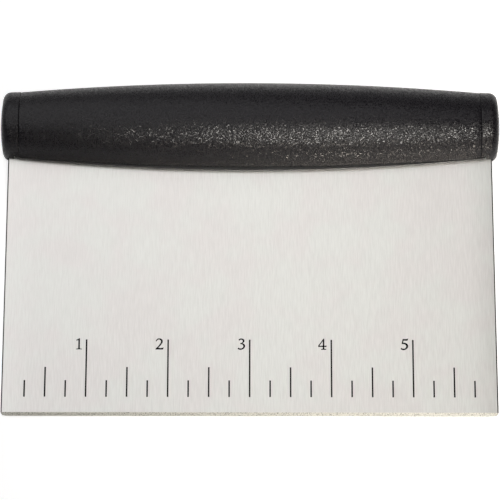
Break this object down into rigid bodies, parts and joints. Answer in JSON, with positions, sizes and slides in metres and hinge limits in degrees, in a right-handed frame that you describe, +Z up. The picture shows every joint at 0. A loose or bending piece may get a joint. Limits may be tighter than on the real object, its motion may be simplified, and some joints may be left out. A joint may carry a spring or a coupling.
{
  "type": "dough scraper",
  "caption": "Dough scraper: a rectangular steel blade with an inch ruler along its working edge, held in a barrel-shaped soft-grip handle with end caps.",
  "frame": {"origin": "on the worktop that the scraper lies on, under the middle of its box", "axes": "+X along the ruler in reading direction, +Y from the working edge to the handle, +Z up out of the ruler face"},
  "size_m": [0.159, 0.1088, 0.0248],
  "materials": {
    "blade_steel": "brushed along the blade's height, edge ground",
    "ruler_marks": "dark etched fill in the ruler's lines and numerals",
    "pin_steel": "turned, plain",
    "core_plastic": "moulded, fine texture",
    "grip_rubber": "soft, fine pebbled grain",
    "cap_plastic": "moulded, fine texture"
  },
  "bodies": {
    "root": {"blade": "blade_steel", "core_front_half": "core_plastic", "core_rear_half": "core_plastic", "tang_pin_left": "pin_steel", "tang_pin_middle": "pin_steel", "tang_pin_right": "pin_steel", "grip_sleeve": "grip_rubber", "end_cap_left": "cap_plastic", "end_cap_right": "cap_plastic"}
  },
  "joints": []
}
